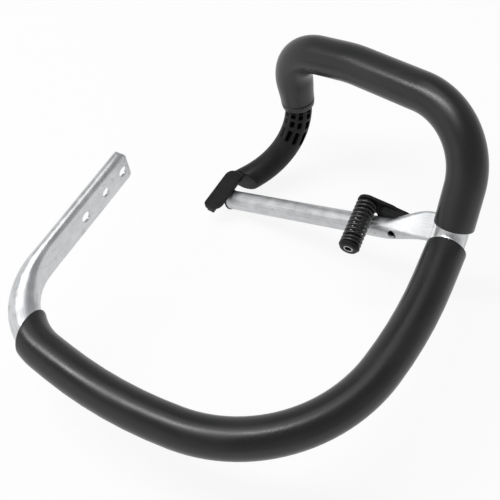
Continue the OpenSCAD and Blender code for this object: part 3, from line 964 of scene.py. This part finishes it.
@dataclass
class LippedGrip(Grip):
    """The upper sleeve, which narrows on the leg to a groove and a lip over the arm."""

    lip_od: float = 26.4
    lip_len: float = 5.0
    lip_flare: float = 0.5
    groove_w: float = 1.0
    groove_deep: float = 0.7
    leg: float = 25.5

    def body_end(self) -> float:
        """Distance at which the sleeve starts to narrow."""
        return self.end - self.leg

    def profile_end(self) -> list[tuple[float, float]]:
        """Distance and radius of the rings on the leg, the groove and the lip."""
        wide, rim = self.od / 2, self.lip_od / 2 + self.lip_flare
        groove = self.end - self.lip_len
        start = self.body_end()
        steps = 12
        rows = []
        for k in range(1, steps + 1):
            share = k / steps
            rows.append((mix(start, groove - self.groove_w, share), mix(wide, rim, ease(share))))
        w, deep = self.groove_w, self.groove_deep
        rows += [(groove - 0.75 * w, rim - 0.7 * deep), (groove - 0.5 * w, rim - deep),
                 (groove - 0.25 * w, rim - 0.7 * deep), (groove, rim - 0.12),
                 (groove + 0.3, rim), (self.end - 1.6, self.lip_od / 2 + 0.1)]
        f = 0.6
        rows += [(self.end - f + x, y) for x, y in fillet((0, self.lip_od / 2 - f), f, 90, 0)]
        return rows


@dataclass
class Strut:
    """The welded strut: pressed flat at the vee bend, round at the foot, drilled for the seat."""

    tube: HandleTube
    od: float = 16.0
    wall: float = 2.0
    paddle_t: float = 5.0
    paddle_end: float = 20.0
    paddle_morph: float = 38.0
    paddle_turn: float = 26.0
    paddle_side: float = 5.5
    paddle_lift: float = 4.5
    foot_step: tuple[float, float, float] = (-22.0, 4.0, -7.5)
    screw_along: float = 47.0
    screw_off: float = 1.4
    access_d: float = 7.0
    screw_d: float = 3.9
    gap: float = 0.1

    def __post_init__(self) -> None:
        """Works out the strut's own frame, X from the vee bend to the foot."""
        line, vee = self.tube.line, self.tube.vee
        foot = line.frame(line.mark(self.tube.arm + 2)).translation + Vector(self.foot_step)
        middle = line.bend_start(vee) + line.bends[vee].arc / 2
        start = line.frame(middle).translation
        x = (foot - start).normalized()
        z = (Vector((0, 0, 1)) - x.z * x).normalized()
        y = z.cross(x)
        self.length = (foot - start).length
        self.place = Matrix((
            (x.x, y.x, z.x, start.x), (x.y, y.y, z.y, start.y), (x.z, y.z, z.z, start.z),
            (0, 0, 0, 1)))
        self.paddle_w = oval_width(self.od, self.paddle_t)

    def section(self, x: float) -> tuple[Matrix, float, float]:
        """Frame, width and thickness of the section at a distance from the vee bend."""
        k = 1 - ease(min(max((x - self.paddle_end) / self.paddle_morph, 0.0), 1.0))
        place = self.place @ shift(x, -self.paddle_side * k, self.paddle_lift * k)
        turned_place = place @ roll(90 - self.paddle_turn)
        return turned_place, mix(self.od, self.paddle_w, k), mix(self.od, self.paddle_t, k)

    def _ring(self, loft: Loft, x: float, inset: float) -> None:
        """Adds the ring of the skin or the bore at a distance."""
        place, w, t = self.section(x)
        spots = [Vector((0, y, z)) for y, z in oval_points(w - 2 * inset, t - 2 * inset)]
        loft.ring([place @ p for p in spots], [Vector((x, p.y, p.z)) for p in spots])

    def room_at_vee(self) -> bpy.types.Object:
        """Room that the tube and the two grips take at the vee bend."""
        line = self.tube.line
        low = line.bend_start(self.tube.vee)
        high = line.mark(self.tube.vee + 1) + 3.0
        tube_r, grip_r, reach = self.tube.od / 2 + self.gap, 15.0 + self.gap, 34.0
        loft = Loft("vee_room")
        marks = [s for s in line.stations(low - reach, high + reach)]
        rows = [(s, grip_r) for s in marks if s < low]
        rows += [(low + self.gap, grip_r), (low + self.gap + 0.01, tube_r)]
        rows += [(s, tube_r) for s in marks if low + 0.5 < s < high - 0.5]
        rows += [(high - self.gap - 0.01, tube_r), (high - self.gap, grip_r)]
        rows += [(s, grip_r) for s in marks if s > high]
        sides = 64
        for s, r in rows:
            place = line.section(s)
            spots = [Vector((0, r * math.cos(a), r * math.sin(a)))
                     for a in (2 * math.pi * j / sides for j in range(sides))]
            loft.ring([place @ p for p in spots], spots)
        return loft.object(loop=False)

    def screw_frame(self) -> Matrix:
        """Frame whose Z runs along the seat screw, away from the strut."""
        return self.place @ shift(self.screw_along, 0, self.screw_off) @ roll(90)

    def build(self, finish: Aluminium) -> bpy.types.Object:
        """Builds and dresses the strut."""
        loft = Loft("strut_tube")
        step = 2.0
        count = round((self.paddle_end + self.paddle_morph) / step)
        marks = [k * step for k in range(count + 1)]
        marks += [mix(marks[-1], self.length - self.gap, k / 8) for k in range(1, 9)]
        for x in marks:
            self._ring(loft, x, 0.0)
        wall = self.wall
        for x in reversed(marks):
            self._ring(loft, x, wall)
        obj = loft.object(loop=True)
        carve(obj, self.room_at_vee())
        place = self.screw_frame()
        r, e = self.access_d / 2, 0.3
        skin = -self.od / 2
        side = [(r + 3.0, skin - 4.0), (r + 3.0, skin + 0.2), (r + e, skin + 1.0), (r, skin + 1.4),
                (r, 0.0)]
        carve(obj, rod("access", place, side))
        carve(obj, rod("screw_room", place, [(self.screw_d / 2, 0.0), (self.screw_d / 2, self.od)]))
        lay_out(obj, self.place, (self.length, self.paddle_w, self.paddle_w))
        shade(obj)
        return settle(obj, finish.material("strut_tube", Coords.LAY), "strut")


@dataclass
class Coil:
    """The vibration spring, which stands on its moulded seat, with its plug and the plug's bush."""

    strut: Strut
    od: float = 16.4
    wire_d: float = 2.4
    length: float = 39.5
    turns: float = 11.0
    along: float = 69.5
    off: float = 18.5
    side: float = 6.5
    lean: float = 7.0
    tip: float = 6.0
    gap: float = 0.1
    plug_t: float = 3.0
    plug_top: float = 13.4
    boss_len: float = 10.0
    bush_bore: float = 5.5
    bush_wall: float = 1.0

    def __post_init__(self) -> None:
        """Works out the spring's frame, Z from the seat to the plug."""
        self.place = (self.strut.place @ shift(self.along, -self.side, self.off)
                      @ yaw(self.lean) @ roll(-90 - self.tip))
        self.boss_d = self.od - 2 * self.wire_d - 2 * self.gap

    def _rise(self, k: float) -> float:
        """Height of the wire's middle at a share of the turns, with closed ends."""
        closed = 1 / self.turns
        free = self.length - self.gap - 3 * self.wire_d
        low = self.wire_d / 2
        if k < closed:
            return low + self.wire_d * k / closed
        if k > 1 - closed:
            return low + self.wire_d + free + self.wire_d * (k - 1 + closed) / closed
        return low + self.wire_d + free * (k - closed) / (1 - 2 * closed)

    def spring(self, finish: SpringPaint) -> bpy.types.Object:
        """Builds the coil, which is squeezed between its seat and its plug."""
        loft = Loft("coil_spring")
        per_turn, sides = 48, 16
        r, w = (self.od - self.wire_d) / 2, self.wire_d / 2
        steps = round(per_turn * self.turns)
        low, high = self.gap, self.length
        for i in range(steps + 1):
            k = i / steps
            a = 2 * math.pi * self.turns * k
            middle = self.gap + self._rise(k)
            spots, lays = [], []
            for j in range(sides):
                b = 2 * math.pi * j / sides
                reach = r + w * math.cos(b)
                z = min(max(middle + w * math.sin(b), low), high)
                spots.append(self.place @ Vector((reach * math.cos(a), reach * math.sin(a), z)))
                lays.append(Vector((a * r, math.cos(b), math.sin(b))))
            loft.ring(spots, lays)
        obj = loft.object(loop=False)
        shade(obj, 50)
        settle(obj, finish.material("spring_paint", Coords.LAY), "av_spring", None)
        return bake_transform(obj)

    def plug(self, finish: Moulding) -> bpy.types.Object:
        """Builds the plug in the spring's free end."""
        end, top = self.length + self.gap, self.length + self.gap + self.plug_t
        boss, wide, bore = self.boss_d / 2, self.od / 2, self.bush_bore / 2 + self.bush_wall + 0.05
        f = 0.5
        profile = [(bore, end - self.boss_len), (boss - 1.0, end - self.boss_len),
                   (boss, end - self.boss_len + 1.0), (boss, end), (wide - 0.2, end),
                   (wide, end + 0.2), (wide, end + 0.8)]
        slope = self.plug_top / 2
        profile += [(mix(wide, slope, 0.9), top - f), (slope - 0.1, top - 0.1), (slope - f, top),
                    (bore + 0.3, top), (bore, top - 0.3)]
        obj = turned("plug_moulding", self.place, profile)
        shade(obj, 35)
        material = finish.material("plug_moulding", Coords.LAY)
        return settle(obj, material, "spring_plug", SPRING_END)

    def bush(self, finish: Steel) -> bpy.types.Object:
        """Builds the metal bush in the plug."""
        low = self.length + self.gap - self.boss_len
        high = low + self.boss_len + self.plug_t
        bore, skin, e = self.bush_bore / 2, self.bush_bore / 2 + self.bush_wall, 0.2
        profile = [(bore + e, low), (skin - e, low), (skin, low + e), (skin, high - e),
                   (skin - e, high), (bore + e, high), (bore, high - e), (bore, low + e)]
        obj = turned("turned_bush", self.place, profile, sides=48)
        shade(obj, 30)
        material = finish.material("turned_bush", Coords.LAY)
        return settle(obj, material, "plug_bush", SPRING_END)


@dataclass
class SoftCast:
    """A moulded or welded piece, taken from its solid and given rounded edges."""

    name: str
    node: str
    slot: str
    voxel: float
    rounds: int

    def build(self, material: bpy.types.Material) -> bpy.types.Object:
        """Builds and dresses the piece."""
        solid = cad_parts[self.node]
        obj = bpy.data.objects.new(self.name, solid.data.copy())
        obj.data.name = self.name
        obj.data.materials.clear()
        bpy.context.scene.collection.objects.link(obj)
        remesh = obj.modifiers.new("remesh", "REMESH")
        remesh.mode = "VOXEL"
        remesh.voxel_size = self.voxel * MM
        smooth = obj.modifiers.new("smooth", "SMOOTH")
        smooth.factor = 0.5
        smooth.iterations = self.rounds
        apply_modifiers(obj)
        shade(obj, 180)
        return settle(obj, material, self.node)


@dataclass
class Studio:
    """Floor, light and camera."""

    camera_at: tuple[float, float, float] = (-0.30058, -0.39641, 0.65283)
    look: tuple[float, float, float] = (0.401979, 0.349031, -0.846517)
    right: tuple[float, float, float] = (0.529432, -0.842889, -0.096128)
    lens: float = 75.32
    floor_gap: float = 0.004
    floor_size: float = 30.0
    key_level: float = 18.0
    fill_level: float = 1.1
    shadow_share: float = 0.12
    zenith: tuple[float, float, float] = (0.30, 0.30, 0.31)
    horizon: tuple[float, float, float] = (0.54, 0.54, 0.55)
    window: tuple[float, float, float] = (1.0, 1.0, 1.0)
    window_way: tuple[float, float, float] = (-0.53, 0.84, 0.0)

    def camera(self) -> None:
        """Puts the camera where the photograph was taken from."""
        data = bpy.data.cameras.new("photo_view")
        data.lens = self.lens
        data.clip_start = 0.01
        obj = bpy.data.objects.new("photo_view", data)
        look, right = Vector(self.look).normalized(), Vector(self.right).normalized()
        up = right.cross(look).normalized()
        right = look.cross(up)
        obj.matrix_world = Matrix((
            (right.x, up.x, -look.x, self.camera_at[0]),
            (right.y, up.y, -look.y, self.camera_at[1]),
            (right.z, up.z, -look.z, self.camera_at[2]), (0, 0, 0, 1)))
        bpy.context.scene.collection.objects.link(obj)
        bpy.context.scene.camera = obj

    def floor(self) -> None:
        """Lays a pale floor under the lowest point, white to the eye and in reflections."""
        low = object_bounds()[0].z - self.floor_gap
        half = self.floor_size / 2
        verts = [Vector((x, y, low)) for x, y in
                 ((-half, -half), (half, -half), (half, half), (-half, half))]
        obj = mesh_object("floor", verts, [(0, 1, 2, 3)])
        material = bpy.data.materials.new("floor")
        material.use_nodes = True
        tree = material.node_tree
        nodes, links = tree.nodes, tree.links
        shader = nodes["Principled BSDF"]
        shader.inputs["Base Color"].default_value = (0.86, 0.86, 0.86, 1.0)
        shader.inputs["Roughness"].default_value = 0.9
        shader.inputs["Specular IOR Level"].default_value = 0.1
        glow = nodes.new("ShaderNodeEmission")
        path = nodes.new("ShaderNodeLightPath")
        seen = path.outputs["Is Camera Ray"]
        for name in ("Is Glossy Ray", "Is Transmission Ray"):
            add = nodes.new("ShaderNodeMath")
            add.operation = "MAXIMUM"
            links.new(seen, add.inputs[0])
            links.new(path.outputs[name], add.inputs[1])
            seen = add.outputs[0]
        share = nodes.new("ShaderNodeMath")
        share.operation = "MULTIPLY"
        share.inputs[1].default_value = 1 - self.shadow_share
        links.new(seen, share.inputs[0])
        both = nodes.new("ShaderNodeMixShader")
        links.new(share.outputs[0], both.inputs["Fac"])
        links.new(shader.outputs[0], both.inputs[1])
        links.new(glow.outputs[0], both.inputs[2])
        links.new(both.outputs[0], nodes["Material Output"].inputs["Surface"])
        obj.data.materials.append(material)
        obj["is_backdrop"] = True

    def sky(self) -> None:
        """Lights the room from all round, in greys, with white on the window's side."""
        world = bpy.data.worlds.new("room")
        world.use_nodes = True
        bpy.context.scene.world = world
        nodes, links = world.node_tree.nodes, world.node_tree.links
        way = nodes.new("ShaderNodeTexCoord")
        parts = nodes.new("ShaderNodeSeparateXYZ")
        height = nodes.new("ShaderNodeMapRange")
        height.interpolation_type = "SMOOTHSTEP"
        height.inputs["From Min"].default_value = 0.25
        height.inputs["From Max"].default_value = 0.8
        facing = nodes.new("ShaderNodeVectorMath")
        facing.operation = "DOT_PRODUCT"
        facing.inputs[1].default_value = self.window_way
        side = nodes.new("ShaderNodeMapRange")
        side.interpolation_type = "SMOOTHSTEP"
        side.inputs["From Min"].default_value = 0.1
        side.inputs["From Max"].default_value = 0.95
        low, blend = (nodes.new("ShaderNodeMix") for _ in range(2))
        for node in (low, blend):
            node.data_type = "RGBA"
        low.inputs[6].default_value = (*self.horizon, 1.0)
        low.inputs[7].default_value = (*self.window, 1.0)
        blend.inputs[7].default_value = (*self.zenith, 1.0)
        links.new(way.outputs["Generated"], parts.inputs[0])
        links.new(way.outputs["Generated"], facing.inputs[0])
        links.new(facing.outputs["Value"], side.inputs["Value"])
        links.new(side.outputs["Result"], low.inputs["Factor"])
        links.new(low.outputs[2], blend.inputs[6])
        links.new(parts.outputs["Z"], height.inputs["Value"])
        links.new(height.outputs["Result"], blend.inputs["Factor"])
        links.new(blend.outputs[2], nodes["Background"].inputs["Color"])

    def lamp(
        self, name: str, at: tuple[float, float, float], size: tuple[float, float], level: float
    ) -> None:
        """Hangs a soft box that points at the middle of the part, with its long side along Y.

        Args:
            name: Name of the lamp.
            at: Its place in metres.
            size: Its width and its length in metres.
            level: How bright it looks, where 1 is white.
        """
        data = bpy.data.lights.new(name, "AREA")
        data.shape = "RECTANGLE"
        data.size, data.size_y = size
        data.energy = level * math.pi * size[0] * size[1]
        obj = bpy.data.objects.new(name, data)
        low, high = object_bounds()
        obj.location = at
        obj.rotation_mode = "QUATERNION"
        obj.rotation_quaternion = ((low + high) / 2 - Vector(at)).to_track_quat("-Z", "Y")
        bpy.context.scene.collection.objects.link(obj)

    def build(self) -> None:
        """Sets up the whole stage."""
        bpy.context.scene.view_settings.view_transform = "Standard"
        self.camera()
        self.floor()
        self.sky()
        self.lamp("key_box", (-0.19, 0.36, 1.3), (0.16, 1.25), self.key_level)
        self.lamp("wide_box", (0.1, 0.2, 1.6), (1.5, 1.2), self.fill_level)


def main() -> None:
    logging.basicConfig(level=logging.INFO, format="%(name)s: %(message)s")
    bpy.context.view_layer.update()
    tube = HandleTube()
    line = tube.line
    aluminium, rubber, moulding, steel = Aluminium(), Rubber(), Moulding(), Steel()
    tube.build(aluminium)
    back, apart = 20.5, 3.0
    Grip("lower_rubber", tube, line.mark(tube.corner + 1) - back, line.bend_start(tube.vee),
         cut=Cut.SLANTED).build(rubber, "lower_grip")
    LippedGrip("upper_rubber", tube, line.mark(tube.vee + 1) + apart,
               line.bend_start(tube.arm)).build(rubber, "upper_grip")
    strut = Strut(tube)
    strut.build(Aluminium(rough=0.42, stain=(0.44, 0.44, 0.42)))
    SoftCast("moulded_arm", "support_arm", "arm", 0.52, 3).build(
        moulding.material("moulded_arm", Coords.FRAME))
    SoftCast("seat_moulding", "spring_seat", "seat", 0.22, 6).build(
        moulding.material("seat_moulding", Coords.FRAME))
    SoftCast("weld_ripple", "weld_bead", "weld", 0.2, 4).build(
        Weld().material("weld_ripple", Coords.FRAME))
    coil = Coil(strut)
    coil.spring(SpringPaint())
    coil.plug(moulding)
    coil.bush(steel)
    plated = steel.material("plated_steel", Coords.FRAME)
    for node in ("foot_screw", "seat_screw", "spigot_rivet"):
        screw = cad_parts[node]
        shade(screw)
        dress(screw, plated)
        log.info("%s: dressed", node)
    Studio().build()


if __name__ == "__main__":
    main()
